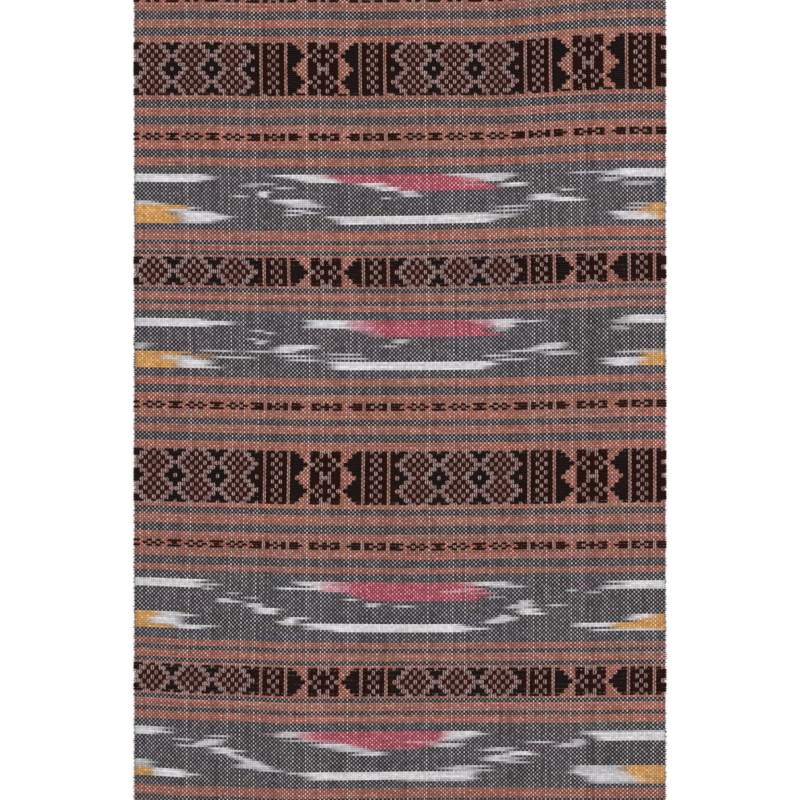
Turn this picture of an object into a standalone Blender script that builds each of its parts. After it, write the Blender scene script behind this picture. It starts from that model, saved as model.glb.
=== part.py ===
"""Cut length of handwoven ikat cloth, lying on a flat surface with the soft folds of storage in it.

Metres, +Z up. X runs along the weft, from cut side to cut side, and Y along the warp. The origin is
the middle of the cloth at the surface that it lies on.
"""

import math

import bmesh
import bpy

# Driving dimensions
THREAD_PITCH = 0.0005  # one warp end or one weft pick
END_COUNT = 256
PICK_COUNT = 400
CLOTH_WIDTH = END_COUNT * THREAD_PITCH
CLOTH_LENGTH = PICK_COUNT * THREAD_PITCH
PLAIN_THICKNESS = 0.0010  # plain weave, rust, black and ikat stripes
BAND_THICKNESS = 0.0013  # plain weave with a second, black pattern weft lying over it

# Bands that carry the pattern weft, counted in picks from the far edge
PATTERN_BANDS = (
    {"name": "upper tall band", "first_pick": 26, "last_pick": 52},
    {"name": "upper short band", "first_pick": 130, "last_pick": 144},
    {"name": "lower tall band", "first_pick": 223, "last_pick": 249},
    {"name": "lower short band", "first_pick": 327, "last_pick": 341},
)
BAND_SHOULDER = 0.0008  # length over which a band rises from the plain weave

# Soft folds, each a low rounded ridge that runs from the far edge to the near edge. far_x and near_x
# are where its crest meets those edges, and far_rise and near_rise how high it lifts the cloth there
SOFT_FOLDS = (
    {"name": "left bank of the crease",
     "far_x": -0.0452, "near_x": -0.0517, "half_width": 0.0120, "far_rise": 0.0009, "near_rise": 0.0011},
    {"name": "right bank of the crease",
     "far_x": -0.0212, "near_x": -0.0277, "half_width": 0.0120, "far_rise": 0.0011, "near_rise": 0.0009},
    {"name": "swell along the right side",
     "far_x": 0.0415, "near_x": 0.0420, "half_width": 0.0215, "far_rise": 0.0026, "near_rise": 0.0003},
)

# Spacing of the mesh
COLUMN_COUNT = 40
ROW_STEP = 0.0060

# Finish of the cloth as a whole, stripes and ikat figures averaged
CLOTH_COLOUR = (0.162, 0.100, 0.091, 1.0)
CLOTH_ROUGHNESS = 0.9


def clear_scene():
    """Take every object out of the scene."""
    for old_object in list(bpy.data.objects):
        bpy.data.objects.remove(old_object, do_unlink=True)


def new_collection(name):
    """Add a collection for the parts to the scene."""
    collection = bpy.data.collections.new(name)
    bpy.context.scene.collection.children.link(collection)
    return collection


def cloth_material():
    """Matt cotton in the cloth's average colour."""
    material = bpy.data.materials.new("ikat_cotton")
    material.use_nodes = True
    shader = material.node_tree.nodes["Principled BSDF"]
    shader.inputs["Base Color"].default_value = CLOTH_COLOUR
    shader.inputs["Roughness"].default_value = CLOTH_ROUGHNESS
    shader.inputs["Metallic"].default_value = 0.0
    return material


def ease(share):
    """Go from 0 to 1 with a soft start and a soft end."""
    held = min(max(share, 0.0), 1.0)
    return held * held * (3.0 - 2.0 * held)


def fold_rise(fold, x, y):
    """Height that one soft fold adds at x, y."""
    toward_near = 0.5 - y / CLOTH_LENGTH
    crest_x = fold["far_x"] + (fold["near_x"] - fold["far_x"]) * toward_near
    crest_rise = fold["far_rise"] + (fold["near_rise"] - fold["far_rise"]) * ease(toward_near)
    aside = abs(x - crest_x) / fold["half_width"]
    if aside >= 1.0:
        return 0.0
    return crest_rise * 0.5 * (1.0 + math.cos(math.pi * aside))


def underside_height(x, y):
    """Height of the cloth's underside. It is zero wherever the cloth lies flat on the surface."""
    return sum(fold_rise(fold, x, y) for fold in SOFT_FOLDS)


def pick_to_y(pick):
    """Place of a pick along the cloth."""
    return CLOTH_LENGTH / 2.0 - pick * THREAD_PITCH


def row_places():
    """Y of each row of the mesh: both edges of every band, with even steps between them."""
    fixed = [-CLOTH_LENGTH / 2.0, CLOTH_LENGTH / 2.0]
    for band in PATTERN_BANDS:
        far_y = pick_to_y(band["first_pick"])
        near_y = pick_to_y(band["last_pick"])
        fixed += [far_y, far_y - BAND_SHOULDER, near_y + BAND_SHOULDER, near_y]
    fixed.sort()
    places = [fixed[0]]
    for start, end in zip(fixed, fixed[1:]):
        steps = max(1, math.ceil((end - start) / ROW_STEP))
        places += [start + (end - start) * step / steps for step in range(1, steps + 1)]
    return places


def in_pattern_band(y):
    """Whether a row lies on the raised part of a pattern band."""
    allowance = BAND_SHOULDER / 2.0
    return any(
        pick_to_y(band["last_pick"]) + allowance < y < pick_to_y(band["first_pick"]) - allowance
        for band in PATTERN_BANDS
    )


def underside_mesh(places):
    """The cloth's underside: a grid in its own rows, lifted by the soft folds."""
    shape = bmesh.new()
    bmesh.ops.create_grid(shape, x_segments=COLUMN_COUNT, y_segments=len(places) - 1, size=0.5)
    for vertex in shape.verts:
        row = round((vertex.co.y + 0.5) * (len(places) - 1))
        x = vertex.co.x * CLOTH_WIDTH
        y = places[row]
        vertex.co = (x, y, underside_height(x, y))
    mesh = bpy.data.meshes.new("cloth")
    shape.to_mesh(mesh)
    shape.free()
    return mesh


def build_cloth(collection):
    """One cut length of cloth, thicker where the pattern weft lies over the ground."""
    mesh = underside_mesh(row_places())
    mesh.shade_smooth()
    cloth = bpy.data.objects.new("cloth", mesh)
    collection.objects.link(cloth)
    cloth.data.materials.append(cloth_material())

    band_group = cloth.vertex_groups.new(name="pattern weft")
    band_group.add([vertex.index for vertex in mesh.vertices if in_pattern_band(vertex.co.y)], 1.0, "REPLACE")

    thickness = cloth.modifiers.new("thickness", "SOLIDIFY")
    thickness.thickness = BAND_THICKNESS
    thickness.offset = 1.0
    thickness.vertex_group = band_group.name
    thickness.thickness_vertex_group = PLAIN_THICKNESS / BAND_THICKNESS
    return cloth


clear_scene()
build_cloth(new_collection("ikat_fabric"))
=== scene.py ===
import math

import bmesh
import bpy
import numpy as np
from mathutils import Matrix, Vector


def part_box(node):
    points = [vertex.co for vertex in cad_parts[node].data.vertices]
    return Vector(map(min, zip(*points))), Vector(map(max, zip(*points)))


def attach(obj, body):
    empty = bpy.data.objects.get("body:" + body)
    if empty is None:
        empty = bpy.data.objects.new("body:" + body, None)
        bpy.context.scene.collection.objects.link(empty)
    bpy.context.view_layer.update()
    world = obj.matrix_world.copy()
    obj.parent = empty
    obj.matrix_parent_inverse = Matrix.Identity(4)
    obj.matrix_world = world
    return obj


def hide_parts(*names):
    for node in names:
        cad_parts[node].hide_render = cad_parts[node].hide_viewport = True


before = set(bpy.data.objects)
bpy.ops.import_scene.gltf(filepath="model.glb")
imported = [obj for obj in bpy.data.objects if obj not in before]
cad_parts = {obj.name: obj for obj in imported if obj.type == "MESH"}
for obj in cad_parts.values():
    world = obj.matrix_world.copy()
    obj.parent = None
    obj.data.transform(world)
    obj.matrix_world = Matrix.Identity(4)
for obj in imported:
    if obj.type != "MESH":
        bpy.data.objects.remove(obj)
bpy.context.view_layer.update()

# Ground cloth
# One cut length of handwoven plain-weave cotton, with pale warp ends and a weft of rust, black and
# ikat-dyed picks. It lies flat but for a soft crease on the left and a low swell along the right.
# Places on it are counted in warp ends from the left side and weft picks from the far edge.
cloth_low, cloth_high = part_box("cloth")
CLOTH_WIDTH = round(cloth_high.x - cloth_low.x, 3)
CLOTH_LENGTH = round(cloth_high.y - cloth_low.y, 3)
END_COUNT = 256
WARP_PITCH = CLOTH_WIDTH / END_COUNT
WEFT_PITCH = 0.000497
FIRST_PICK_Y = 0.0994
GROUND_THICKNESS = 0.0007
SPARE_PICKS = 3

SOFT_FOLDS = (
    {"name": "left bank of the crease",
     "far_x": -0.0452, "near_x": -0.0517, "half_width": 0.0120, "far_rise": 0.0009, "near_rise": 0.0011},
    {"name": "right bank of the crease",
     "far_x": -0.0212, "near_x": -0.0277, "half_width": 0.0120, "far_rise": 0.0011, "near_rise": 0.0009},
    {"name": "swell along the right side",
     "far_x": 0.0415, "near_x": 0.0420, "half_width": 0.0215, "far_rise": 0.0026, "near_rise": 0.0003},
)

# How far the threads stray from a straight grid, in millimetres: the ends to the right, the picks
# towards the near edge
END_DRIFT_STATIONS = (0, 20, 39, 59, 92, 138, 188, 240, 256)
END_DRIFT = (
    {"pick": 39, "right": (0.0, -0.55, -0.87, -1.03, -1.05, -1.30, -1.35, -0.90, 0.0)},
    {"pick": 137, "right": (0.0, -0.13, -0.21, -0.26, -0.31, -0.36, -0.39, -0.24, 0.0)},
    {"pick": 190, "right": (0.0, 0.38, 0.25, 0.10, -0.10, -0.15, -0.35, -0.15, 0.0)},
    {"pick": 236, "right": (0.0, 0.33, 0.52, -0.07, -0.55, -0.10, -0.40, -0.05, 0.0)},
    {"pick": 334, "right": (0.0, -0.50, -0.83, -1.07, -1.00, -0.85, -0.60, -0.36, 0.0)},
)
PICK_DRIFT_STATIONS = (0, 95, 138, 186, 244)
PICK_DRIFT = (
    {"pick": 20, "near": (0.0, 0.24, 0.00, -0.25, -2.42)},
    {"pick": 54, "near": (0.0, 0.30, 0.06, -0.07, -1.40)},
    {"pick": 83, "near": (0.0, 0.36, 0.12, -0.24, -1.40)},
    {"pick": 117, "near": (0.0, 0.45, 0.25, -0.28, -0.85)},
    {"pick": 151, "near": (0.0, 0.60, 0.60, 0.12, -0.85)},
    {"pick": 215, "near": (0.0, 0.85, 0.85, 0.60, 0.00)},
    {"pick": 280, "near": (0.0, 1.09, 1.33, 0.97, 0.73)},
    {"pick": 350, "near": (0.0, 1.57, 1.45, 1.40, 1.15)},
    {"pick": 389, "near": (0.0, 1.33, 1.10, 1.05, 1.15)},
)


def on_smooth_curve(at, stations, amounts):
    """Amount at each place, on a smooth curve through the amounts that the stations have."""
    stations = np.asarray(stations, float)
    slopes = np.gradient(amounts, stations, axis=0)
    step = np.clip(np.searchsorted(stations, at, side="right") - 1, 0, len(stations) - 2)
    span = stations[step + 1] - stations[step]
    share = np.clip((at - stations[step]) / span, 0.0, 1.0)
    places = (step,) if amounts.ndim == 1 else (step, np.arange(len(step)))
    next_places = (step + 1,) + places[1:]
    value = (2 * share**3 - 3 * share**2 + 1) * amounts[places]
    value += (3 * share**2 - 2 * share**3) * amounts[next_places]
    value += (share**3 - 2 * share**2 + share) * span * slopes[places]
    return value + (share**3 - share**2) * span * slopes[next_places]


def drift(end, pick, table, column, stations):
    """How far a table says that the threads stray at each end and pick, in metres."""
    along_ends = np.array([on_smooth_curve(end, stations, np.array(row[column])) for row in table])
    return on_smooth_curve(pick, [row["pick"] for row in table], along_ends) / 1000.0


def fold_height(x, y):
    """Height of the cloth's underside over the surface that it lies on."""
    toward_near = np.clip(0.5 - y / CLOTH_LENGTH, 0.0, 1.0)
    eased = toward_near**2 * (3.0 - 2.0 * toward_near)
    height = np.zeros_like(x)
    for fold in SOFT_FOLDS:
        crest_x = fold["far_x"] + (fold["near_x"] - fold["far_x"]) * toward_near
        crest_rise = fold["far_rise"] + (fold["near_rise"] - fold["far_rise"]) * eased
        aside = np.clip(np.abs(x - crest_x) / fold["half_width"], 0.0, 1.0)
        height += crest_rise * 0.5 * (1.0 + np.cos(math.pi * aside))
    return height


def place(end, pick, lift=0.0):
    """Place on the cloth's upper side, or `lift` over it, at each end and pick."""
    end = np.asarray(end, float)
    pick = np.asarray(pick, float)
    x = (end - END_COUNT / 2) * WARP_PITCH + drift(end, pick, END_DRIFT, "right", END_DRIFT_STATIONS)
    y = FIRST_PICK_Y - pick * WEFT_PITCH - drift(end, pick, PICK_DRIFT, "near", PICK_DRIFT_STATIONS)
    return np.stack([x, y, fold_height(x, y) + GROUND_THICKNESS + lift], axis=-1)


# Weft plan from the far edge, with the picks in each stripe. The bands and the rows of dashes have
# a rust ground, and the black pattern weft that lies over it is made further on
STRIPES = (
    ("rust", 3), ("dashes", 4), ("rust", 4), ("black", 4), ("rust", 4), ("black", 4), ("rust", 3),
    ("tall band", 26),
    ("rust", 2), ("black", 4), ("rust", 4), ("black", 4), ("rust", 4), ("dashes", 4), ("rust", 4),
    ("black", 4), ("rust", 4),
    ("ikat", 31),
    ("rust", 5), ("black", 2), ("rust", 3), ("black", 2), ("rust", 1),
    ("short band", 14),
    ("rust", 1), ("black", 2), ("rust", 4), ("black", 2), ("rust", 3),
    ("ikat", 32),
    ("rust", 4), ("black", 4), ("rust", 4), ("dashes", 3), ("rust", 5), ("black", 3), ("rust", 4),
    ("black", 4), ("rust", 4),
    ("tall band", 26),
    ("rust", 2), ("black", 3), ("rust", 5), ("black", 4), ("rust", 4), ("dashes", 3), ("rust", 5),
    ("black", 4), ("rust", 3),
    ("ikat", 33),
    ("rust", 3), ("black", 2), ("rust", 4), ("black", 2), ("rust", 1),
    ("short band", 14),
    ("rust", 1), ("black", 2), ("rust", 4), ("black", 2), ("rust", 4),
    ("ikat", 32),
    ("rust", 5), ("black", 3), ("rust", 4), ("dashes", 6),
)


def stripe_starts(kind):
    """First pick of every stripe of one kind."""
    starts = np.cumsum([0] + [picks for name, picks in STRIPES])
    return [int(start) for start, (name, picks) in zip(starts, STRIPES) if name == kind]


# Dyes of the weft
RUST = (0.245, 0.053, 0.019)
PINK_RUST = (0.265, 0.085, 0.052)
MAROON = (0.060, 0.016, 0.012)
BLACK = (0.011, 0.0090, 0.011)
IKAT_GREY = (0.015, 0.016, 0.0215)
NEAR_BLACK = (0.0035, 0.0040, 0.0050)
WHITE = (0.700, 0.685, 0.710)
PINK = (0.345, 0.023, 0.053)
PALE_PINK = (0.580, 0.250, 0.310)
YELLOW = (0.580, 0.270, 0.045)

# Ends of each repeat where the pattern weft lies behind the ground of a band and darkens it
PATTERN_REPEAT_ENDS = 128
DARKENED_ENDS = ((0, 60), (64, 74), (86, 100), (112, 122), (126, 128))

# Figures of the four ikat stripes, in the order that they are dyed: first and last pick, left end at
# the first and at the last pick, right end at the first and at the last pick, dye, and strength. Each
# stripe has white and yellow at its sides, a pink tongue with white tips, a long white bar below it
# and loose streaks, and all but the first have darker stretches. Ends off the cloth run past its side
IKAT_STRIPES = (
    (
        (4, 8, -30, -30, 31, 31, WHITE, 0.95), (5, 7, 26, 26, 40, 39, WHITE, 0.80),
        (17, 18, -30, -30, 10, 10, WHITE, 0.70), (18, 19, -30, -30, 13, 13, WHITE, 0.80),
        (23, 27, 22, 25, 43, 40, WHITE, 1.00), (24, 26, 38, 38, 51, 46, WHITE, 0.75),
        (27, 28, 24, 24, 38, 38, WHITE, 0.60), (20, 21, 26, 26, 33, 33, WHITE, 0.60),
        (21, 22, 15, 15, 27, 27, WHITE, 0.70), (22, 23, 20, 20, 36, 36, WHITE, 0.65),
        (19, 21, -30, -30, 26, 25, YELLOW, 1.00), (21, 24, -30, -30, 16, 18, YELLOW, 1.00),
        (24, 28, -30, -30, 22, 24, YELLOW, 1.00),
        (8, 10, 54, 54, 60, 60, WHITE, 0.50), (8, 9, 61, 61, 68, 68, WHITE, 0.65),
        (10, 11, 68, 68, 75, 75, WHITE, 0.70), (12, 15, 60, 62, 64, 66, WHITE, 0.95),
        (14, 15, 49, 49, 54, 54, WHITE, 0.70), (16, 18, 66, 70, 83, 85, WHITE, 0.95),
        (18, 20, 73, 78, 87, 91, WHITE, 0.90), (21, 22, 74, 74, 82, 82, WHITE, 0.80),
        (22, 23, 81, 81, 90, 90, WHITE, 0.70), (23, 24, 74, 74, 82, 82, WHITE, 0.75),
        (4, 8, 65, 87, 92, 104, WHITE, 0.95), (4, 6, 86, 88, 97, 99, PALE_PINK, 0.50),
        (4, 8, 93, 102, 156, 170, PINK, 1.00), (8, 12, 109, 128, 170, 179, PINK, 1.00),
        (8, 12, 108, 120, 121, 130, WHITE, 0.80), (12, 15, 128, 132, 136, 138, WHITE, 0.75),
        (15, 16, 121, 121, 127, 127, WHITE, 0.60), (5, 8, 158, 162, 170, 173, PALE_PINK, 0.70),
        (4, 6, 150, 162, 183, 185, WHITE, 0.85), (6, 8, 167, 171, 183, 180, WHITE, 0.85),
        (9, 10, 159, 159, 171, 171, PALE_PINK, 0.50), (9, 11, 178, 179, 191, 190, WHITE, 0.90),
        (23, 24, 150, 150, 174, 174, WHITE, 0.60),
        (24, 28, 100, 99, 176, 171, WHITE, 1.00), (24, 25, 95, 95, 105, 105, WHITE, 0.80),
        (25, 26, 170, 170, 184, 184, WHITE, 0.80), (20, 21, 176, 176, 190, 190, WHITE, 0.65),
        (22, 23, 174, 174, 187, 187, WHITE, 0.70), (24, 25, 175, 175, 188, 188, WHITE, 0.60),
        (12, 14, 204, 206, 209, 211, WHITE, 0.85), (15, 18, 194, 191, 203, 207, WHITE, 0.90),
        (17, 19, 199, 202, 211, 216, WHITE, 0.95),
        (4, 8, 234, 237, 290, 290, WHITE, 0.95), (5, 7, 228, 230, 242, 240, WHITE, 0.80),
        (5, 6, 212, 212, 232, 232, WHITE, 0.65), (8, 10, 228, 226, 238, 235, WHITE, 0.60),
        (10, 12, 237, 237, 249, 249, WHITE, 0.55), (20, 21, 239, 239, 250, 250, WHITE, 0.55),
        (22, 23, 238, 238, 248, 248, WHITE, 0.55), (24, 28, 231, 236, 254, 254, WHITE, 0.95),
        (20, 22, 250, 247, 290, 290, YELLOW, 1.00), (22, 25, 246, 244, 290, 290, YELLOW, 0.85),
        (25, 28, 252, 252, 290, 290, YELLOW, 0.90),
    ),
    (
        (2, 31, 206, 206, 231, 231, NEAR_BLACK, 0.80), (12, 20, 234, 234, 290, 290, NEAR_BLACK, 0.80),
        (4, 8, -30, -30, 34, 36, WHITE, 0.95), (5, 7, 30, 30, 46, 44, WHITE, 0.85),
        (16, 19, -30, -30, 6, 4, WHITE, 0.55), (22, 24, 11, 12, 28, 28, WHITE, 0.70),
        (24, 28, 19, 21, 37, 38, WHITE, 1.00), (21, 24, 26, 28, 38, 38, YELLOW, 0.30),
        (20, 22, -30, -30, 26, 22, YELLOW, 1.00), (22, 24, -30, -30, 12, 13, YELLOW, 1.00),
        (24, 28, -30, -30, 19, 20, YELLOW, 1.00),
        (19, 20, 35, 35, 51, 51, WHITE, 0.60), (19, 20, 54, 54, 67, 67, WHITE, 0.60),
        (22, 23, 38, 38, 56, 56, WHITE, 0.65), (9, 10, 58, 58, 63, 63, WHITE, 0.70),
        (10, 12, 63, 64, 66, 67, WHITE, 0.65), (13, 14, 53, 53, 57, 57, WHITE, 0.70),
        (14, 16, 58, 59, 61, 62, WHITE, 0.70), (16, 20, 71, 66, 86, 79, WHITE, 0.90),
        (21, 22, 69, 69, 83, 83, WHITE, 0.65), (23, 24, 74, 74, 88, 88, WHITE, 0.70),
        (20, 21, 94, 94, 110, 110, WHITE, 0.70), (22, 23, 97, 97, 113, 113, WHITE, 0.65),
        (4, 8, 84, 86, 105, 105, WHITE, 0.95), (7, 8, 80, 80, 90, 90, WHITE, 0.70),
        (4, 9, 102, 103, 116, 116, PALE_PINK, 0.80), (9, 12, 108, 114, 117, 122, PALE_PINK, 0.45),
        (4, 8, 112, 115, 166, 171, PINK, 1.00), (8, 12, 114, 120, 170, 175, PINK, 1.00),
        (13, 15, 124, 125, 131, 132, WHITE, 0.60), (16, 17, 120, 120, 127, 127, WHITE, 0.60),
        (4, 6, 164, 165, 176, 177, PALE_PINK, 0.90), (6, 8, 167, 170, 177, 178, PALE_PINK, 0.60),
        (4, 8, 173, 175, 187, 181, WHITE, 0.85), (5, 6, 183, 183, 197, 197, WHITE, 0.70),
        (8, 10, 174, 176, 181, 180, WHITE, 0.45),
        (24, 28, 94, 97, 172, 169, WHITE, 1.00), (25, 26, 168, 168, 177, 177, WHITE, 0.80),
        (19, 20, 180, 180, 194, 194, WHITE, 0.65), (21, 22, 170, 170, 185, 185, WHITE, 0.80),
        (23, 24, 175, 175, 189, 189, WHITE, 0.80), (16, 19, 198, 192, 209, 206, WHITE, 0.90),
        (20, 21, 195, 195, 209, 209, WHITE, 0.60), (21, 22, 199, 199, 213, 213, WHITE, 0.75),
        (4, 8, 240, 242, 290, 290, WHITE, 0.95), (5, 6, 235, 235, 246, 246, WHITE, 0.75),
        (6, 8, 232, 231, 245, 244, WHITE, 0.65), (9, 11, 232, 233, 241, 240, WHITE, 0.45),
        (21, 22, 233, 233, 256, 256, WHITE, 0.65), (24, 28, 226, 231, 247, 247, WHITE, 0.95),
        (22, 28, 247, 243, 290, 290, YELLOW, 1.00), (20, 21, 246, 246, 290, 290, YELLOW, 0.50),
    ),
    (
        (20, 31, 35, 35, 53, 53, NEAR_BLACK, 0.70), (2, 10, 193, 193, 210, 210, NEAR_BLACK, 0.80),
        (9, 19, 237, 237, 290, 290, NEAR_BLACK, 0.80),
        (4, 8, -30, -30, 33, 28, WHITE, 0.95), (6, 7, 28, 28, 41, 41, WHITE, 0.75),
        (20, 24, 8, 8, 26, 22, WHITE, 0.75), (21, 22, 22, 22, 29, 29, WHITE, 0.65),
        (23, 26, 6, 8, 21, 22, WHITE, 0.90), (26, 28, 19, 21, 36, 32, WHITE, 0.90),
        (26, 27, 30, 30, 40, 40, WHITE, 0.75),
        (20, 23, -30, -30, 11, 8, YELLOW, 1.00), (23, 26, -30, -30, 6, 8, YELLOW, 1.00),
        (26, 28, -30, -30, 18, 21, YELLOW, 0.90),
        (8, 9, 35, 35, 42, 42, WHITE, 0.60), (10, 11, 46, 46, 52, 52, WHITE, 0.60),
        (12, 13, 55, 55, 59, 59, WHITE, 0.50), (13, 15, 40, 42, 47, 50, WHITE, 0.80),
        (15, 17, 54, 57, 61, 66, WHITE, 0.80), (17, 20, 59, 62, 69, 72, WHITE, 0.95),
        (21, 23, 75, 74, 83, 82, WHITE, 0.85), (23, 25, 68, 74, 82, 82, WHITE, 0.85),
        (4, 6, 79, 81, 94, 95, WHITE, 0.90), (6, 8, 87, 88, 98, 96, WHITE, 0.80),
        (7, 8, 70, 70, 90, 90, WHITE, 0.80), (4, 9, 91, 92, 106, 106, PALE_PINK, 0.80),
        (4, 7, 103, 104, 160, 166, PINK, 1.00), (7, 9, 104, 104, 166, 170, PINK, 1.00),
        (9, 11, 102, 108, 171, 171, PINK, 0.95), (11, 13, 109, 114, 171, 168, PINK, 0.95),
        (12, 13, 102, 102, 109, 109, WHITE, 0.80), (14, 16, 112, 113, 120, 120, WHITE, 0.75),
        (15, 16, 126, 126, 134, 134, WHITE, 0.65), (4, 6, 158, 161, 170, 172, PALE_PINK, 0.80),
        (4, 6, 164, 168, 179, 183, WHITE, 0.85), (6, 7, 173, 173, 190, 190, WHITE, 0.65),
        (7, 8, 157, 157, 170, 170, PALE_PINK, 0.90), (8, 9, 150, 150, 160, 160, PALE_PINK, 0.95),
        (9, 10, 161, 161, 172, 172, PALE_PINK, 0.60), (11, 12, 171, 171, 178, 178, WHITE, 0.45),
        (24, 26, 79, 88, 157, 164, WHITE, 1.00), (26, 28, 95, 97, 168, 160, WHITE, 1.00),
        (26, 27, 84, 84, 98, 98, WHITE, 0.70), (26, 27, 160, 160, 177, 177, WHITE, 0.80),
        (13, 15, 187, 187, 193, 193, WHITE, 0.75), (15, 17, 183, 182, 192, 195, WHITE, 0.75),
        (17, 20, 186, 188, 197, 195, WHITE, 0.95), (20, 22, 177, 174, 184, 181, WHITE, 0.85),
        (22, 24, 173, 168, 183, 176, WHITE, 0.85), (15, 16, 199, 199, 207, 207, WHITE, 0.70),
        (8, 9, 211, 211, 218, 218, WHITE, 0.60), (9, 10, 221, 221, 227, 227, WHITE, 0.60),
        (4, 8, 236, 237, 290, 290, WHITE, 0.95), (4, 5, 230, 230, 240, 240, WHITE, 0.70),
        (6, 8, 228, 222, 241, 240, WHITE, 0.75),
        (20, 23, 241, 238, 253, 249, WHITE, 0.90), (24, 26, 212, 214, 236, 234, WHITE, 0.90),
        (27, 28, 221, 221, 253, 253, WHITE, 0.85),
        (20, 22, 250, 249, 290, 290, YELLOW, 1.00), (22, 24, 246, 240, 290, 290, YELLOW, 1.00),
        (24, 27, 231, 233, 290, 290, YELLOW, 0.95), (27, 28, 250, 250, 290, 290, YELLOW, 0.70),
    ),
    (
        (3, 14, 45, 47, 60, 66, NEAR_BLACK, 0.80), (10, 20, 220, 220, 290, 290, NEAR_BLACK, 0.80),
        (20, 30, 182, 182, 198, 198, NEAR_BLACK, 0.70),
        (4, 8, -30, -30, 12, 11, WHITE, 0.95), (6, 7, 9, 9, 20, 20, WHITE, 0.75),
        (4, 6, 10, 10, 17, 17, WHITE, 0.40), (9, 10, 20, 20, 28, 28, WHITE, 0.60),
        (20, 22, -30, -30, 9, 8, WHITE, 0.75), (22, 24, -30, -30, 10, 10, WHITE, 0.60),
        (24, 28, 9, 10, 27, 29, WHITE, 1.00), (26, 27, 25, 25, 31, 31, WHITE, 0.75),
        (24, 28, -30, -30, 9, 10, YELLOW, 0.95),
        (7, 8, 37, 37, 47, 47, WHITE, 0.65), (9, 12, 35, 31, 46, 43, WHITE, 0.85),
        (12, 13, 21, 21, 36, 36, WHITE, 0.75), (13, 16, 36, 41, 48, 51, WHITE, 0.85),
        (16, 19, 45, 51, 52, 60, WHITE, 0.85), (19, 22, 53, 55, 62, 67, WHITE, 0.85),
        (21, 23, 50, 52, 66, 69, WHITE, 0.65), (23, 24, 60, 60, 71, 71, WHITE, 0.75),
        (24, 25, 76, 76, 87, 87, WHITE, 0.60),
        (4, 6, 73, 72, 85, 83, WHITE, 0.90), (5, 6, 65, 65, 76, 76, PALE_PINK, 0.50),
        (6, 7, 71, 71, 81, 81, WHITE, 0.80), (4, 8, 80, 82, 89, 90, PALE_PINK, 0.80),
        (8, 9, 76, 76, 90, 90, WHITE, 0.50), (8, 10, 88, 92, 101, 104, PALE_PINK, 0.60),
        (4, 8, 86, 87, 153, 151, PINK, 1.00), (8, 10, 100, 103, 149, 147, PINK, 1.00),
        (10, 12, 104, 108, 146, 144, PINK, 0.95), (12, 13, 112, 112, 142, 142, PINK, 0.80),
        (10, 12, 88, 93, 105, 108, WHITE, 0.80), (12, 14, 94, 103, 110, 117, WHITE, 0.75),
        (14, 16, 107, 110, 121, 123, WHITE, 0.80), (9, 10, 132, 132, 145, 145, PALE_PINK, 0.90),
        (4, 8, 150, 149, 157, 155, PALE_PINK, 0.70), (4, 7, 153, 153, 168, 166, WHITE, 0.90),
        (5, 6, 160, 160, 173, 173, WHITE, 0.65), (7, 8, 150, 150, 161, 161, WHITE, 0.75),
        (8, 9, 149, 149, 162, 162, WHITE, 0.50), (10, 12, 147, 146, 160, 158, WHITE, 0.80),
        (24, 28, 84, 88, 167, 165, WHITE, 1.00), (28, 29, 130, 130, 162, 162, WHITE, 0.50),
        (21, 22, 155, 155, 170, 170, WHITE, 0.65), (22, 23, 150, 150, 166, 166, WHITE, 0.70),
        (23, 24, 155, 155, 170, 170, WHITE, 0.65), (12, 14, 173, 168, 185, 178, WHITE, 0.70),
        (14, 16, 180, 182, 190, 195, WHITE, 0.90), (16, 19, 172, 170, 182, 180, WHITE, 0.85),
        (17, 18, 180, 180, 188, 188, WHITE, 0.55), (19, 20, 179, 179, 190, 190, WHITE, 0.65),
        (9, 10, 190, 190, 203, 203, WHITE, 0.65), (8, 10, 214, 212, 222, 219, WHITE, 0.60),
        (10, 12, 208, 205, 219, 216, WHITE, 0.75),
        (5, 9, 221, 226, 290, 290, WHITE, 0.95), (4, 6, 217, 219, 290, 290, WHITE, 0.55),
        (21, 22, 213, 213, 237, 237, WHITE, 0.65), (22, 24, 215, 212, 238, 240, WHITE, 0.75),
        (24, 25, 212, 212, 242, 242, WHITE, 0.80), (25, 29, 218, 221, 246, 250, WHITE, 0.95),
        (29, 30, 221, 221, 244, 244, WHITE, 0.50),
        (21, 24, 235, 238, 290, 290, YELLOW, 1.00), (24, 27, 238, 241, 290, 290, YELLOW, 1.00),
        (27, 30, 241, 244, 290, 290, YELLOW, 0.85),
    ),
)

GRID_COLUMNS = 112
DYE_SEED = 11
SMEAR_ENDS = 6.0  # how far a dye creeps along the yarn at each end of its figure
YARN_SHIFT_ENDS = 0.8  # how far a dyed pick slips from its neighbours
FIGURE_SHIFT_ENDS = 0.6  # how far it slips again in each of its figures
RIGHT_SHIFT_ENDS = 1.5  # how unevenly a figure ends on its right
SHIFTED_PICKS = 40  # more than the picks in an ikat stripe
IKAT_TINT = 2.5  # how much more uneven in tint the ikat ground is than the other stripes
dye_random = np.random.default_rng(DYE_SEED)
pick_total = sum(picks for name, picks in STRIPES) + 2 * SPARE_PICKS
column_ends = np.linspace(0.0, END_COUNT, GRID_COLUMNS + 1)


def uneven(rows, stations, amount):
    """Slow random change along each pick, around zero."""
    at = np.linspace(0.0, END_COUNT, stations)
    rough = dye_random.normal(0.0, amount, (rows, stations))
    return np.array([np.interp(column_ends, at, row) for row in rough])


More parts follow.
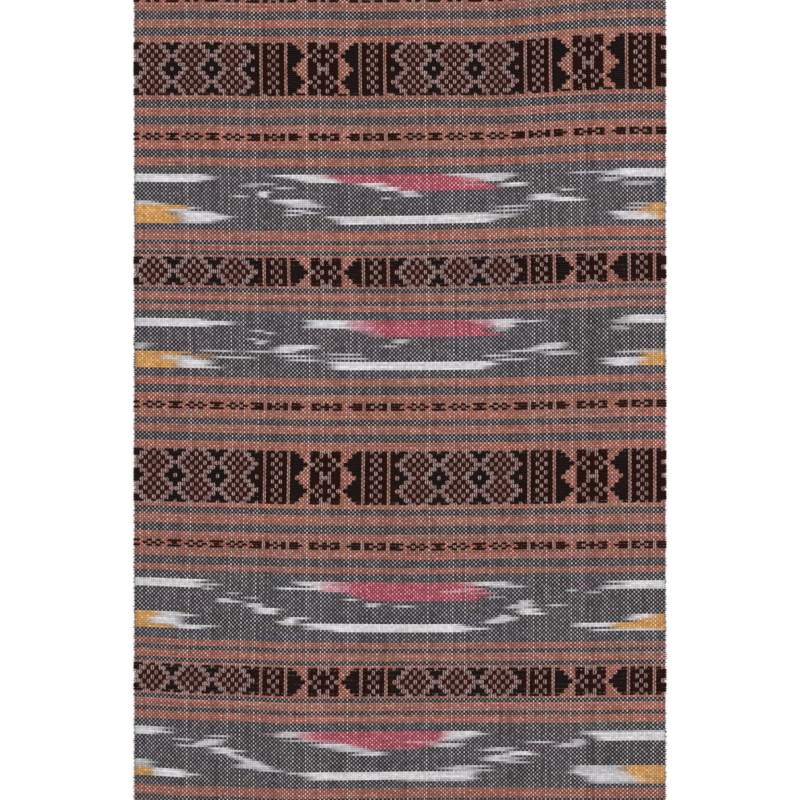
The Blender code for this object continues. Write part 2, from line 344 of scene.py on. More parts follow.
def ground_dyes():
    """Dye of every pick at each column of the cloth, before the ikat figures."""
    dyes = np.empty((pick_total, GRID_COLUMNS + 1, 3))
    plain = {"black": BLACK, "ikat": IKAT_GREY}
    names = ["rust"] * SPARE_PICKS
    for name, picks in STRIPES:
        names += [name] * picks
    names += ["rust"] * SPARE_PICKS
    pinkness = dye_random.normal(0.35, 0.25, (pick_total, 1)) + uneven(pick_total, 14, 0.35)
    rust = np.array(RUST) + (np.array(PINK_RUST) - np.array(RUST)) * np.clip(pinkness, 0.0, 1.0)[..., None]
    end_in_repeat = column_ends % PATTERN_REPEAT_ENDS
    inside = [(end_in_repeat >= left) & (end_in_repeat <= right) for left, right in DARKENED_ENDS]
    darkened = np.any(inside, axis=0)
    for row, name in enumerate(names):
        dyes[row] = plain[name] if name in plain else rust[row]
        if name in ("tall band", "short band"):
            dyes[row, darkened] = MAROON
    strength = dye_random.normal(1.0, 0.10, (pick_total, 1)) + uneven(pick_total, 10, 0.08)
    tint = np.stack([uneven(pick_total, 12, 0.12) for channel in range(3)], axis=-1)
    tint[np.array(names) == "ikat"] *= IKAT_TINT
    return dyes * np.clip(strength, 0.6, 1.5)[..., None] * np.clip(1.0 + tint, 0.3, 2.0)


def dye_figure(dyes, first_row, figure, slips):
    """Dye one ikat figure into its picks, each pick slipped sideways by its own amount."""
    first, last, far_left, near_left, far_right, near_right, dye, strength = figure
    for pick in range(first, last):
        along = (pick + 0.5 - first) / (last - first)
        slip = slips[pick] + dye_random.normal(0.0, FIGURE_SHIFT_ENDS)
        left = far_left + (near_left - far_left) * along + slip
        right = far_right + (near_right - far_right) * along + slip
        right += dye_random.normal(0.0, RIGHT_SHIFT_ENDS)
        smear = np.clip(0.4 * (right - left), 1.5, SMEAR_ENDS)
        taken = np.clip((column_ends - left) / smear + 0.5, 0.0, 1.0)
        taken *= np.clip((right - column_ends) / smear + 0.5, 0.0, 1.0)
        taken = (strength * taken * dye_random.uniform(0.9, 1.0))[:, None]
        row = first_row + pick
        dyes[row] += (np.array(dye) - dyes[row]) * taken


def dyed_weft():
    """Dye of every pick at each column of the cloth."""
    dyes = ground_dyes()
    for start, figures in zip(stripe_starts("ikat"), IKAT_STRIPES):
        slips = dye_random.normal(0.0, YARN_SHIFT_ENDS, SHIFTED_PICKS)
        for figure in figures:
            dye_figure(dyes, start + SPARE_PICKS, figure, slips)
    return dyes


def woven_grid():
    """Flat grid with one row of faces to a pick, laid out in ends and picks."""
    shape = bmesh.new()
    bmesh.ops.create_grid(shape, x_segments=GRID_COLUMNS, y_segments=pick_total, size=0.5)
    mesh = bpy.data.meshes.new("ground_cloth")
    shape.to_mesh(mesh)
    shape.free()
    return mesh


def lay_out(mesh, weft_dyes):
    """Lay the grid on the soft folds, and give it its thread places and dyes."""
    flat = np.empty(len(mesh.vertices) * 3)
    mesh.vertices.foreach_get("co", flat)
    flat = flat.reshape(-1, 3)
    end = (flat[:, 0] + 0.5) * END_COUNT
    pick = (0.5 - flat[:, 1]) * pick_total - SPARE_PICKS
    laid = place(end, pick)
    mesh.vertices.foreach_set("co", laid.ravel())

    corner = np.empty(len(mesh.loops), int)
    mesh.loops.foreach_get("vertex_index", corner)
    threads = np.stack([end[corner], pick[corner]], axis=-1)
    mesh.uv_layers.new(name="Threads").uv.foreach_set("vector", threads.ravel())

    column = np.rint(end[corner] / END_COUNT * GRID_COLUMNS).astype(int)
    row = np.rint(pick[corner].reshape(-1, 4).min(axis=1) + SPARE_PICKS).astype(int).repeat(4)
    colour = np.ones((len(corner), 4))
    colour[:, :3] = weft_dyes[row, column]
    mesh.attributes.new("weft_dye", "FLOAT_COLOR", "CORNER").data.foreach_set("color", colour.ravel())


def cut_straight(mesh):
    """Cut the far and near edges straight across."""
    shape = bmesh.new()
    shape.from_mesh(mesh)
    for side in (1.0, -1.0):
        bmesh.ops.bisect_plane(
            shape, geom=shape.verts[:] + shape.edges[:] + shape.faces[:],
            plane_co=(0.0, side * CLOTH_LENGTH / 2.0, 0.0), plane_no=(0.0, side, 0.0), clear_outer=True,
        )
    shape.to_mesh(mesh)
    shape.free()


def add_bake_places(mesh):
    """Lay the cloth's outline out over the whole of the baked picture."""
    corner = np.empty(len(mesh.loops), int)
    mesh.loops.foreach_get("vertex_index", corner)
    places = np.empty(len(mesh.vertices) * 3)
    mesh.vertices.foreach_get("co", places)
    places = places.reshape(-1, 3)[corner, :2] / (CLOTH_WIDTH, CLOTH_LENGTH) + 0.5
    mesh.uv_layers.new(name="OFBake").uv.foreach_set("vector", places.ravel())


def maths(tree, operation, *values, clamped=False):
    """Math node on sockets or plain numbers."""
    node = tree.nodes.new("ShaderNodeMath")
    node.operation = operation
    node.use_clamp = clamped
    for socket, value in zip(node.inputs, values):
        if isinstance(value, bpy.types.NodeSocket):
            tree.links.new(value, socket)
        else:
            socket.default_value = value
    return node.outputs[0]


def blended(tree, share, first, second, blend_type="MIX"):
    """Mix node between two colours, each a socket or a plain colour."""
    node = tree.nodes.new("ShaderNodeMix")
    node.data_type = "RGBA"
    node.blend_type = blend_type
    for index, value in ((0, share), (6, first), (7, second)):
        if isinstance(value, bpy.types.NodeSocket):
            tree.links.new(value, node.inputs[index])
        else:
            node.inputs[index].default_value = value if index == 0 else (*value, 1.0)
    return node.outputs[2]


def noise_at(tree, x, y, detail=2.0):
    """Smooth noise around 0.5 at a place given by two sockets."""
    spot = tree.nodes.new("ShaderNodeCombineXYZ")
    tree.links.new(x, spot.inputs[0])
    tree.links.new(y, spot.inputs[1])
    noise = tree.nodes.new("ShaderNodeTexNoise")
    noise.inputs["Scale"].default_value = 1.0
    noise.inputs["Detail"].default_value = detail
    tree.links.new(spot.outputs[0], noise.inputs["Vector"])
    return noise.outputs[0]


# Plain weave, with lengths in thread pitches and heights in the rise of a thread over the next
WARP_HALF_WIDTH = 0.31
WEFT_HALF_WIDTH = 0.50
WARP_ROUNDNESS = 0.6
WEFT_ROUNDNESS = 0.9
WEAVE_RISE = 0.00010
WARP_PALE = (0.405, 0.352, 0.368)
DEEPEST_PAINTED_SHADE = 0.30


def cotton_shader(name, sheen=0.10, specular=0.20):
    """Material with a matt, slightly furry shader, and its node tree."""
    material = bpy.data.materials.new(name)
    material.use_nodes = True
    shader = material.node_tree.nodes["Principled BSDF"]
    shader.inputs["Roughness"].default_value = 0.9
    shader.inputs["Specular IOR Level"].default_value = specular
    shader.inputs["Sheen Weight"].default_value = sheen
    shader.inputs["Sheen Roughness"].default_value = 0.5
    return material, material.node_tree, shader


def crossing(tree, own, other, sign, half_width, roundness):
    """Height of one set of threads where it crosses the other, and the number of the thread."""
    number = maths(tree, "FLOOR", own)
    wave = maths(tree, "MULTIPLY", maths(tree, "COSINE", maths(tree, "MULTIPLY", number, math.pi)),
                 maths(tree, "SINE", maths(tree, "MULTIPLY", other, math.pi)))
    from_middle = maths(tree, "SUBTRACT", maths(tree, "SUBTRACT", own, number), 0.5)
    aside = maths(tree, "DIVIDE", from_middle, half_width)
    crown = maths(tree, "SUBTRACT", 1.0, maths(tree, "MULTIPLY", aside, aside))
    rounded = maths(tree, "MULTIPLY", crown, roundness)
    return maths(tree, "ADD", maths(tree, "MULTIPLY", wave, sign), rounded), number


def woven_cotton():
    """Plain weave with pale warp ends over dyed picks, as colour, height and painted shade between threads.
    """
    material, tree, shader = cotton_shader("woven_cotton")
    threads = tree.nodes.new("ShaderNodeUVMap")
    threads.uv_map = "Threads"
    parts = tree.nodes.new("ShaderNodeSeparateXYZ")
    tree.links.new(threads.outputs[0], parts.inputs[0])
    end, pick = parts.outputs[0], parts.outputs[1]
    warp_height, end_number = crossing(tree, end, pick, 1.0, WARP_HALF_WIDTH, WARP_ROUNDNESS)
    weft_height, pick_number = crossing(tree, pick, end, -1.0, WEFT_HALF_WIDTH, WEFT_ROUNDNESS)
    height = maths(tree, "MAXIMUM", warp_height, weft_height)
    lead = maths(tree, "MULTIPLY", maths(tree, "SUBTRACT", warp_height, weft_height), 4.0)
    warp_on_top = maths(tree, "ADD", lead, 0.5, clamped=True)

    # Threads vary in weight from one to the next and along their length
    warp_streaks = noise_at(
        tree, maths(tree, "MULTIPLY", end_number, 1.7), maths(tree, "MULTIPLY", pick, 0.03),
    )
    weft_streaks = noise_at(
        tree, maths(tree, "MULTIPLY", end, 0.035), maths(tree, "MULTIPLY", pick_number, 1.3),
    )
    fibres = noise_at(tree, maths(tree, "MULTIPLY", end, 5.0), maths(tree, "MULTIPLY", pick, 5.0))
    crossing_number = tree.nodes.new("ShaderNodeCombineXYZ")
    tree.links.new(end_number, crossing_number.inputs[0])
    tree.links.new(pick_number, crossing_number.inputs[1])
    knots = tree.nodes.new("ShaderNodeTexWhiteNoise")
    knots.noise_dimensions = "2D"
    tree.links.new(crossing_number.outputs[0], knots.inputs["Vector"])
    end_weights = tree.nodes.new("ShaderNodeTexWhiteNoise")
    end_weights.noise_dimensions = "1D"
    tree.links.new(end_number, end_weights.inputs["W"])
    warp_tone = maths(tree, "MULTIPLY_ADD", warp_streaks, 1.0, 0.05)
    warp_tone = maths(tree, "MULTIPLY_ADD", end_weights.outputs[0], 0.40, warp_tone)
    warp_tone = maths(tree, "MULTIPLY_ADD", maths(tree, "POWER", knots.outputs[0], 2.0), 0.75, warp_tone)
    weft_tone = maths(tree, "MULTIPLY_ADD", weft_streaks, 0.9, 0.40)
    weft_tone = maths(tree, "MULTIPLY_ADD", knots.outputs[0], 0.30, weft_tone)
    fibre_tone = maths(tree, "MULTIPLY_ADD", fibres, 0.5, 0.75)

    # The picks colour the pale ends between them. The bright dyes hide them, and lighten the painted shade
    # in the gaps
    dye = tree.nodes.new("ShaderNodeAttribute")
    dye.attribute_name = "weft_dye"
    dye_parts = tree.nodes.new("ShaderNodeSeparateColor")
    tree.links.new(dye.outputs["Color"], dye_parts.inputs[0])
    hidden = maths(tree, "MULTIPLY_ADD", dye_parts.outputs[1], 1.10, 0.22, clamped=True)
    lit = maths(tree, "MULTIPLY", dye_parts.outputs[1], 1.3, clamped=True)
    warp_colour = blended(tree, 1.0, WARP_PALE, dye.outputs["Color"], "ADD")
    warp_colour = blended(tree, 1.0, warp_colour, warp_tone, "MULTIPLY")
    weft_colour = blended(tree, 1.0, dye.outputs["Color"], weft_tone, "MULTIPLY")
    warp_colour = blended(tree, hidden, warp_colour, weft_colour)
    colour = blended(tree, warp_on_top, weft_colour, warp_colour)
    # Painted shade: the colour darkens where the threads dip, deepest in the gaps between them; the fibres'
    # own tone is multiplied in too
    shade = maths(tree, "MULTIPLY_ADD", height, 1.0 - DEEPEST_PAINTED_SHADE, DEEPEST_PAINTED_SHADE, clamped=True)
    shade = maths(tree, "MULTIPLY", shade, fibre_tone)
    shade = maths(tree, "ADD", shade, maths(tree, "MULTIPLY", maths(tree, "SUBTRACT", 1.0, shade), lit))
    colour = blended(tree, 1.0, colour, shade, "MULTIPLY")
    tree.links.new(colour, shader.inputs["Base Color"])

    bump = tree.nodes.new("ShaderNodeBump")
    bump.inputs["Strength"].default_value = 0.8
    bump.inputs["Distance"].default_value = WEAVE_RISE
    tree.links.new(maths(tree, "MULTIPLY_ADD", fibres, 0.4, height), bump.inputs["Height"])
    tree.links.new(bump.outputs[0], shader.inputs["Normal"])
    return material


weft_dyes = dyed_weft()
ground_mesh = woven_grid()
lay_out(ground_mesh, weft_dyes)
cut_straight(ground_mesh)
add_bake_places(ground_mesh)
ground_mesh.shade_smooth()
ground_cloth = bpy.data.objects.new("ground_cloth", ground_mesh)
bpy.context.scene.collection.objects.link(ground_cloth)
ground_mesh.materials.append(woven_cotton())
ground_thickness = ground_cloth.modifiers.new("thickness", "SOLIDIFY")
ground_thickness.thickness = GROUND_THICKNESS
ground_thickness.offset = -1.0

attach(ground_cloth, "root")
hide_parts("cloth")

# Pattern weft of the bands
# A second, softer black weft that lies over the rust ground in short floats, two picks to a row, and
# dips behind it in between. Each band repeats twice across the cloth. The motifs are counted from the
# left side in steps of two ends: a lattice of diamonds, checks between bars, triangles and a star.
STEP_ENDS = 2
REPEAT_STEPS = 64
FLOAT_RADIUS = 0.00027
FLOAT_LIFT = 0.00014
BURIED_DEPTH = -0.00030

LATTICE_FIRST_STEP = -1
LATTICE_LAST_STEP = 29
LATTICE_STEPS = 10
LATTICE_CENTRE = 4
LATTICE_BLACK_RINGS = (1, 3, 6, 7)
BAR_STEPS = (30, 62)
LEFT_CHECK_STEP = 32
RIGHT_TRIANGLE_STEP = 38
STAR_STEP = 43
LEFT_TRIANGLE_STEP = 51
RIGHT_CHECK_STEP = 56
CHECK_STEPS = 5
TRIANGLE_STEPS = 4
STAR_ROWS = ("#.#.", "##.#", "#.##", "..##")
PLAIN_GAP_STEPS = (31, 37, 55, 61)
CLOSING_GAPS = (2, 5, 9)


def ring_in_lattice(step):
    """How many steps a place is from the middle of its diamond."""
    aside = abs(step - LATTICE_CENTRE) % LATTICE_STEPS
    return min(aside, LATTICE_STEPS - aside)


def is_black(step, row, widest_rows, closing_row):
    """Whether the pattern weft shows at a step across and a row down of a band."""
    step = (step + 1) % REPEAT_STEPS - 1
    from_widest = min(abs(row - widest) for widest in widest_rows)
    if row == closing_row:
        return step % LATTICE_STEPS not in CLOSING_GAPS and step not in PLAIN_GAP_STEPS
    if LATTICE_FIRST_STEP <= step <= LATTICE_LAST_STEP:
        return ring_in_lattice(step) + from_widest in LATTICE_BLACK_RINGS
    if step in BAR_STEPS:
        return True
    if 0 <= step - LEFT_CHECK_STEP < CHECK_STEPS:
        across = step - LEFT_CHECK_STEP
        return across in (0, CHECK_STEPS - 1) or (across + row) % 2 == 1
    if 0 <= step - RIGHT_CHECK_STEP < CHECK_STEPS:
        across = step - RIGHT_CHECK_STEP
        return across in (0, CHECK_STEPS - 1) or (across + row) % 2 == 0
    if 0 <= step - RIGHT_TRIANGLE_STEP < TRIANGLE_STEPS:
        return step - RIGHT_TRIANGLE_STEP < TRIANGLE_STEPS - from_widest
    if 0 <= step - LEFT_TRIANGLE_STEP < TRIANGLE_STEPS:
        return LEFT_TRIANGLE_STEP + TRIANGLE_STEPS - 1 - step < TRIANGLE_STEPS - from_widest
    aside = abs(step - STAR_STEP - 3)
    return aside < TRIANGLE_STEPS and STAR_ROWS[from_widest][aside] == "#"


def runs_of_black(shown):
    """First and last step of each unbroken run in a row of yes and no."""
    edges = np.flatnonzero(np.diff(np.concatenate([[0], shown, [0]])))
    return list(zip(edges[::2], edges[1::2]))


def float_line(first_end, last_end, pick, float_random):
    """Centre line of one float, from where it comes up to where it dips again."""
    inner = np.linspace(first_end + 0.2, last_end - 0.2, max(2, round((last_end - first_end) / 1.5)))
    ends = np.concatenate([[first_end - 0.4], inner, [last_end + 0.4]])
    lifts = FLOAT_LIFT + float_random.uniform(-0.00003, 0.00003, len(ends))
    lifts[[0, -1]] = BURIED_DEPTH
    picks = pick + float_random.normal(0.0, 0.04, len(ends))
    return place(ends, picks, lifts)


def yarn_piece(name, lines, radius, materials, sides_step=1):
    """Yarns along a number of (material number, centre line) rows, as one mesh."""
    curve = bpy.data.curves.new(name, "CURVE")
    curve.dimensions = "3D"
    curve.bevel_depth = radius
    curve.bevel_resolution = sides_step
    curve.use_fill_caps = True
    for material in materials:
        curve.materials.append(material)
    for material_number, line in lines:
        spline = curve.splines.new("POLY")
        spline.points.add(len(line) - 1)
        spline.points.foreach_set("co", np.column_stack([line, np.ones(len(line))]).ravel())
        spline.material_index = material_number
    former = bpy.data.objects.new(name + "_line", curve)
    bpy.context.scene.collection.objects.link(former)
    mesh = bpy.data.meshes.new_from_object(former)
    bpy.data.objects.remove(former)
    bpy.data.curves.remove(curve)
    mesh.name = name
    mesh.shade_smooth()
    piece = bpy.data.objects.new(name, mesh)
    bpy.context.scene.collection.objects.link(piece)
    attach(piece, "root")
    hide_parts("cloth")
    return piece


def dyed_yarn(name, colour, other_colour, sheen=0.0, specular=0.06):
    """Soft twisted yarn in two close shades."""
    material, tree, shader = cotton_shader(name, sheen, specular)
    spot = tree.nodes.new("ShaderNodeTexCoord")
    turned = tree.nodes.new("ShaderNodeMapping")
    turned.inputs["Rotation"].default_value = (0.0, 0.0, math.radians(28.0))
    turned.inputs["Scale"].default_value = (2500.0, 9000.0, 6000.0)
    tree.links.new(spot.outputs["Object"], turned.inputs["Vector"])
    twist = tree.nodes.new("ShaderNodeTexNoise")
    twist.inputs["Scale"].default_value = 1.0
    tree.links.new(turned.outputs[0], twist.inputs["Vector"])
    drift_noise = tree.nodes.new("ShaderNodeTexNoise")
    drift_noise.inputs["Scale"].default_value = 220.0
    tree.links.new(spot.outputs["Object"], drift_noise.inputs["Vector"])
    shades = blended(tree, drift_noise.outputs[0], colour, other_colour)
    tone = maths(tree, "MULTIPLY_ADD", twist.outputs[0], 1.4, 0.3)
    tree.links.new(blended(tree, 1.0, shades, tone, "MULTIPLY"), shader.inputs["Base Color"])
    bump = tree.nodes.new("ShaderNodeBump")
    bump.inputs["Strength"].default_value = 0.6
    bump.inputs["Distance"].default_value = 0.00006
    tree.links.new(twist.outputs[0], bump.inputs["Height"])
    tree.links.new(bump.outputs[0], shader.inputs["Normal"])
    return material


# The last row of the upper tall band is one dark line, with pale gaps of one step in it
BANDS = (
    {"name": "upper_tall_band", "first_pick": stripe_starts("tall band")[0],
     "picks": 26, "rows": 13, "widest": (3, 9), "closing_row": 12},
    {"name": "upper_short_band", "first_pick": stripe_starts("short band")[0],
     "picks": 14, "rows": 7, "widest": (3,), "closing_row": None},
    {"name": "lower_tall_band", "first_pick": stripe_starts("tall band")[1],
     "picks": 26, "rows": 13, "widest": (3, 9), "closing_row": None},
    {"name": "lower_short_band", "first_pick": stripe_starts("short band")[1],
     "picks": 14, "rows": 7, "widest": (3,), "closing_row": None},
)
BAND_SEED = 21


def row_pick(band, row):
    """Middle of one row of floats. Only half of the first row and of the last one shows."""
    return band["first_pick"] + 0.35 + row * (band["picks"] - 0.7) / (band["rows"] - 1)


def shown_in_row(row, widest_rows, closing_row=None):
    """Where the pattern weft shows along a row, step by step across the cloth."""
    steps = range(END_COUNT // STEP_ENDS)
    return np.array([is_black(step, row, widest_rows, closing_row) for step in steps], int)


def yarn_of_float(step, row, band):
    """Number of a float's yarn: the deep black in solid figures, the maroon one in lattice cells."""
    step = (step + 1) % REPEAT_STEPS - 1
    if step <= LATTICE_LAST_STEP:
        ring = ring_in_lattice(step) + min(abs(row - widest) for widest in band["widest"])
        return 0 if ring > 4 and row != band["closing_row"] else 2
    triangles = (RIGHT_TRIANGLE_STEP, LEFT_TRIANGLE_STEP)
    return 0 if any(first_step <= step < first_step + TRIANGLE_STEPS for first_step in triangles) else 1


def band_lines(band, seed):
    """Centre lines of all the floats in one band, each with the number of its yarn."""
    float_random = np.random.default_rng(seed)
    lines = []
    for row in range(band["rows"]):
        strands = {0: (0.4,), band["rows"] - 1: (-0.4,)}.get(row, (-0.52, 0.52))
        for strand in strands:
            for first, last in runs_of_black(shown_in_row(row, band["widest"], band["closing_row"])):
                pick = row_pick(band, row) + strand
                line = float_line(first * STEP_ENDS, last * STEP_ENDS, pick, float_random)
                lines.append((yarn_of_float((first + last - 1) / 2, row, band), line))
    return lines


deep_black = dyed_yarn("deep_black_yarn", (0.0065, 0.0068, 0.0080), (0.0220, 0.0095, 0.0075))
brown_black = dyed_yarn("brown_black_yarn", (0.0150, 0.0045, 0.0035), (0.0320, 0.0080, 0.0055))
maroon_black = dyed_yarn("maroon_black_yarn", (0.0240, 0.0060, 0.0050), (0.0520, 0.0120, 0.0085))
band_yarns = (deep_black, brown_black, maroon_black)
bands = [
    yarn_piece(band["name"], band_lines(band, BAND_SEED + number), FLOAT_RADIUS, band_yarns)
    for number, band in enumerate(BANDS)
]

# Rows of dashes
# The same black yarn in lines of small marks between the rust stripes, three floats high. They are
# the second, third and second rows of the bands' chart.
DASH_ROWS = (1, 2, 1)
DASH_PITCH_PICKS = 1.22
DASH_FIRST_PICK = 0.65  # middle of the first line of floats, from the far side of its stripe
dash_random = np.random.default_rng(31)
dash_lines = []
for start in stripe_starts("dashes"):
    for line_number, row in enumerate(DASH_ROWS):
        pick = start + DASH_FIRST_PICK + line_number * DASH_PITCH_PICKS
        for first, last in runs_of_black(shown_in_row(row, (3,))):
            line = float_line(first * STEP_ENDS, last * STEP_ENDS, pick, dash_random)
            if abs(line[:, 1]).max() < CLOTH_LENGTH / 2.0:
                dash_lines.append((int(dash_random.uniform() < 0.7), line))
dashes = yarn_piece("rows_of_dashes", dash_lines, FLOAT_RADIUS, (deep_black, brown_black))

# Pale ends tied over the pattern weft
# Where the pattern weft dips between two floats, the pale warp ends come up over it and hold it down.
# The two ends of a step bow apart a little, as a pair of small arches.
TIE_RADIUS = 0.00014
TIE_RISE = 0.00018
TIE_DEPTH = -0.00020
TIED_STEPS = (*range(-1, 30), *range(32, 37), *range(43, 50), *range(56, 61))
tie_random = np.random.default_rng(61)


def tie_line(end, pick, reach, bow):
    """Centre line of one warp end's arch over a row of the pattern weft."""
    picks = pick + reach * np.array([-1.0, -0.55, 0.0, 0.55, 1.0])
    rise = TIE_RISE + tie_random.uniform(-0.00005, 0.00003)
    lifts = np.array([TIE_DEPTH, 0.55 * rise, rise, 0.55 * rise, TIE_DEPTH])
    return place(end + bow * np.array([-0.3, 0.6, 1.0, 0.6, -0.3]), picks, lifts)


def tie_pair(step, pick, reach, pale_share):
    """Arches of both ends of one step."""
    bow = tie_random.uniform(0.05, 0.30)
    lean = tie_random.uniform(-0.12, 0.12)
    own_reach = reach + tie_random.uniform(-0.15, 0.10)
    left = tie_line(step * STEP_ENDS + 0.6, pick, own_reach, lean - bow)
    right = tie_line(step * STEP_ENDS + 1.4, pick, own_reach, lean + bow)
    return [(int(tie_random.uniform() < pale_share), left), (int(tie_random.uniform() < pale_share), right)]


def tie_lines(band):
    """Arches over all the light places in the lattice, the checks and the star of one band."""
    lines = []
    for row in range(band["rows"]):
        lower = 0.25 if row == band["rows"] - 1 else 0.0
        for first, last in runs_of_black(1 - shown_in_row(row, band["widest"], band["closing_row"])):
            pale_share, reach = (0.50, 1.10) if last - first == 1 else (0.70, 0.85)
            reach = 0.75 if row == 0 else reach
            for step in range(first, last):
                if (step + 1) % REPEAT_STEPS - 1 in TIED_STEPS:
                    lines += tie_pair(step, row_pick(band, row) + lower, reach, pale_share)
    for pick in range(band["first_pick"], band["first_pick"] + band["picks"]):
        for step in range(END_COUNT // STEP_ENDS):
            if step % REPEAT_STEPS in PLAIN_GAP_STEPS:
                end = step * STEP_ENDS + 0.5 + pick % 2
                lines.append((int(tie_random.uniform() < 0.7), tie_line(end, pick + 0.5, 0.85, 0.0)))
    return lines


rosy_tie = dyed_yarn("rosy_warp_yarn", (0.470, 0.285, 0.250), (0.290, 0.150, 0.130), sheen=0.05)
pale_tie = dyed_yarn("pale_tie_yarn", (0.660, 0.480, 0.445), (0.400, 0.245, 0.220), sheen=0.05)
ties = [
    yarn_piece(band["name"] + "_ties", tie_lines(band), TIE_RADIUS, (rosy_tie, pale_tie), sides_step=0)
    for band in BANDS
]

dash_ties = []
for start in stripe_starts("dashes"):
    for line_number, row in enumerate(DASH_ROWS):
        pick = start + DASH_FIRST_PICK + line_number * DASH_PITCH_PICKS
        for first, last in runs_of_black(1 - shown_in_row(row, (3,))):
            if last - first == 1 and 0 < first:
                pair = tie_pair(first, pick, 0.65, 0.5)
                dash_ties += [tie for tie in pair if abs(tie[1][:, 1]).max() < CLOTH_LENGTH / 2.0]
ties.append(yarn_piece("dash_ties", dash_ties, TIE_RADIUS, (rosy_tie, pale_tie), sides_step=0))

# Thick warp ends
# Here and there a pale end is spun thicker than the rest, and stands out as a line of bright dots
# where it comes over each second pick. It goes under the pattern weft's floats.
THICK_ENDS = (26, 46, 52, 59, 84, 91, 104, 142, 154, 160, 193, 199, 211, 216, 238, 250)
THICK_END_RADIUS = 0.00014
THICK_END_CRIMP = 0.00020
THICK_END_DEPTH = 0.00014


def warp_line(end, thick_random):
    """Centre line of one warp end, over and under the picks from edge to edge."""
    picks = np.arange(-SPARE_PICKS + 1, pick_total - SPARE_PICKS) + 0.5
    over = np.where((np.floor(picks) + end) % 2 == 0, 1.0, -1.0)
    sideways = end + 0.5 + thick_random.normal(0.0, 0.05, len(picks))
    lifts = THICK_END_CRIMP * over * thick_random.uniform(0.75, 1.05, len(picks)) - THICK_END_DEPTH
    line = place(sideways, picks, lifts)
    return line[abs(line[:, 1]) < CLOTH_LENGTH / 2.0]


end_random = np.random.default_rng(41)
pale_yarn = dyed_yarn("pale_warp_yarn", (0.900, 0.840, 0.860), (0.560, 0.490, 0.500), sheen=0.05)
thick_lines = [(0, warp_line(end, end_random)) for end in THICK_ENDS]
thick_ends = yarn_piece("thick_warp_ends", thick_lines, THICK_END_RADIUS, (pale_yarn,))

# Cut ends of the yarns
# The four sides are cut, with no hem, so the yarns end in short loose tips of uneven length.
TIP_RADIUS = 0.00012
WEFT_TIP_LENGTHS = (0.00010, 0.00045)
WARP_TIP_LENGTHS = (0.00020, 0.00110)
TIP_ROOT = 0.0004  # how far inside the cloth a tip starts
LAST_PICK = 400.0  # pick at the near edge
tip_random = np.random.default_rng(51)
rust_tip = dyed_yarn("rust_tip_yarn", (0.300, 0.090, 0.050), (0.230, 0.060, 0.030), sheen=0.08)
black_tip = dyed_yarn("black_tip_yarn", (0.016, 0.015, 0.019), (0.030, 0.028, 0.034), sheen=0.04)


def tip_line(end, pick, outward, lengths):
    """Centre line of one loose tip that leaves the cloth's edge in the outward direction."""
    length = tip_random.uniform(*lengths)
    start = place(np.array([end]), np.array([pick]), -0.5 * GROUND_THICKNESS)[0]
    droop = np.array([0.0, 0.0, -0.35 * length])
    sway = np.array([outward[1], outward[0], 0.0]) * tip_random.normal(0.0, 0.25 * length)
    inside = start - np.array(outward) * TIP_ROOT
    return np.stack([inside, start, start + np.array(outward) * length + droop + sway])


stripe_names = [name for name, picks in STRIPES for pick in range(picks)]
side_tips = []
for side_end, outward in ((0.0, (-1.0, 0.0, 0.0)), (float(END_COUNT), (1.0, 0.0, 0.0))):
    for pick, stripe_name in enumerate(stripe_names):
        line = tip_line(side_end, pick + 0.5, outward, WEFT_TIP_LENGTHS)
        if abs(line[:, 1]).max() < CLOTH_LENGTH / 2.0:
            side_tips.append((int(stripe_name in ("black", "ikat")), line))
weft_tips = yarn_piece("cut_weft_tips", side_tips, TIP_RADIUS, (rust_tip, black_tip), sides_step=0)

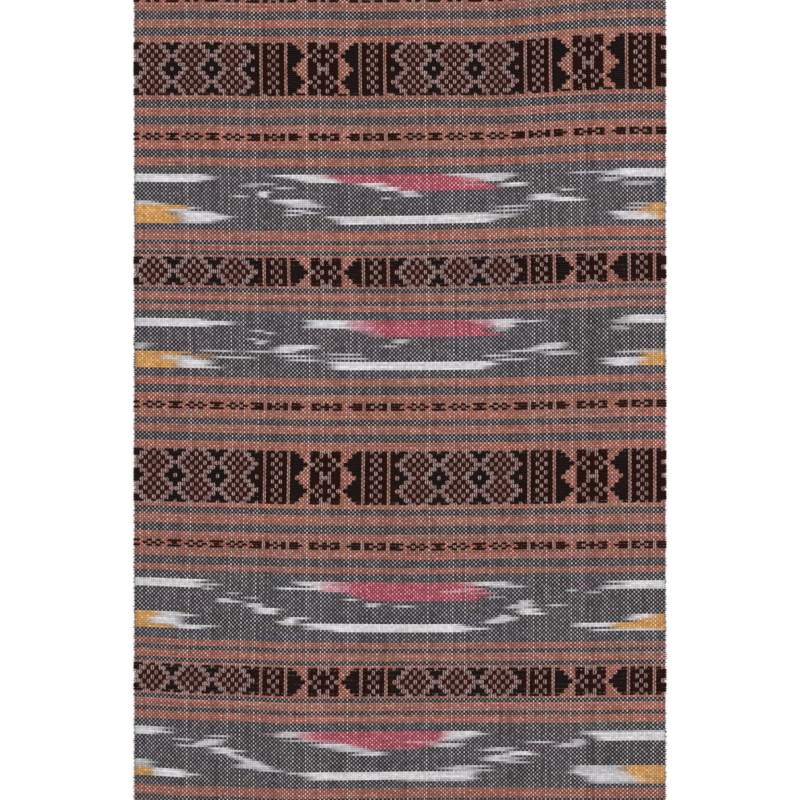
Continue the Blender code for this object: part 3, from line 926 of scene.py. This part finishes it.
far_tips = []
for side, edge_pick in ((1.0, 0.0), (-1.0, LAST_PICK)):
    for end in range(END_COUNT):
        edge = place(np.array([end + 0.5]), np.array([edge_pick]), -0.5 * GROUND_THICKNESS)[0]
        edge[1] = side * CLOTH_LENGTH / 2.0
        length = tip_random.uniform(*WARP_TIP_LENGTHS)
        drop = edge[2] - 0.6 * GROUND_THICKNESS * tip_random.uniform(0.0, 0.6)
        sway = tip_random.normal(0.0, 0.15 * length)
        tip = np.array([edge[0] + sway, edge[1] + side * length, max(drop, TIP_RADIUS)])
        inside = edge - np.array([0.0, side * TIP_ROOT, 0.0])
        far_tips.append((0, np.stack([inside, edge, tip])))
warp_tips = yarn_piece("cut_warp_tips", far_tips, TIP_RADIUS, (pale_yarn,), sides_step=0)

# Floor, light and camera
# A pale matt table top under soft, even light from above, a little to the right and to the far side,
# seen from straight above.
floor_mesh = bpy.data.meshes.new("floor")
floor_shape = bmesh.new()
bmesh.ops.create_grid(floor_shape, x_segments=1, y_segments=1, size=2.0)
floor_shape.to_mesh(floor_mesh)
floor_shape.free()
floor = bpy.data.objects.new("floor", floor_mesh)
bpy.context.scene.collection.objects.link(floor)
floor_paint = bpy.data.materials.new("floor_paint")
floor_paint.use_nodes = True
floor_shader = floor_paint.node_tree.nodes["Principled BSDF"]
floor_shader.inputs["Base Color"].default_value = (0.96, 0.96, 0.96, 1.0)
floor_shader.inputs["Roughness"].default_value = 0.9
floor_shader.inputs["Specular IOR Level"].default_value = 0.1
floor_mesh.materials.append(floor_paint)

world = bpy.data.worlds.new("studio")
world.use_nodes = True
world.node_tree.nodes["Background"].inputs["Color"].default_value = (1.0, 1.0, 1.0, 1.0)
world.node_tree.nodes["Background"].inputs["Strength"].default_value = 0.55
bpy.context.scene.world = world

KEY_LIGHT_AT = (0.20, 0.45, 1.38)
key_data = bpy.data.lights.new("key_light", "AREA")
key_data.shape = "SQUARE"
key_data.size = 0.8
key_data.energy = 13.5
key_light = bpy.data.objects.new("key_light", key_data)
key_light.location = KEY_LIGHT_AT
key_light.rotation_euler = (-Vector(KEY_LIGHT_AT)).to_track_quat("-Z", "Y").to_euler()
bpy.context.scene.collection.objects.link(key_light)

LENS = 85.0
SENSOR_WIDTH = 36.0
PHOTO_WIDTH = 800 * 0.0002418  # width of the floor that the photograph shows
camera_data = bpy.data.cameras.new("camera")
camera_data.lens = LENS
camera_data.sensor_width = SENSOR_WIDTH
camera_data.clip_start = 0.01
camera = bpy.data.objects.new("camera", camera_data)
camera.location = (0.0, 0.0, PHOTO_WIDTH * LENS / SENSOR_WIDTH)
bpy.context.scene.collection.objects.link(camera)
bpy.context.scene.camera = camera
bpy.context.scene.view_settings.view_transform = "Standard"
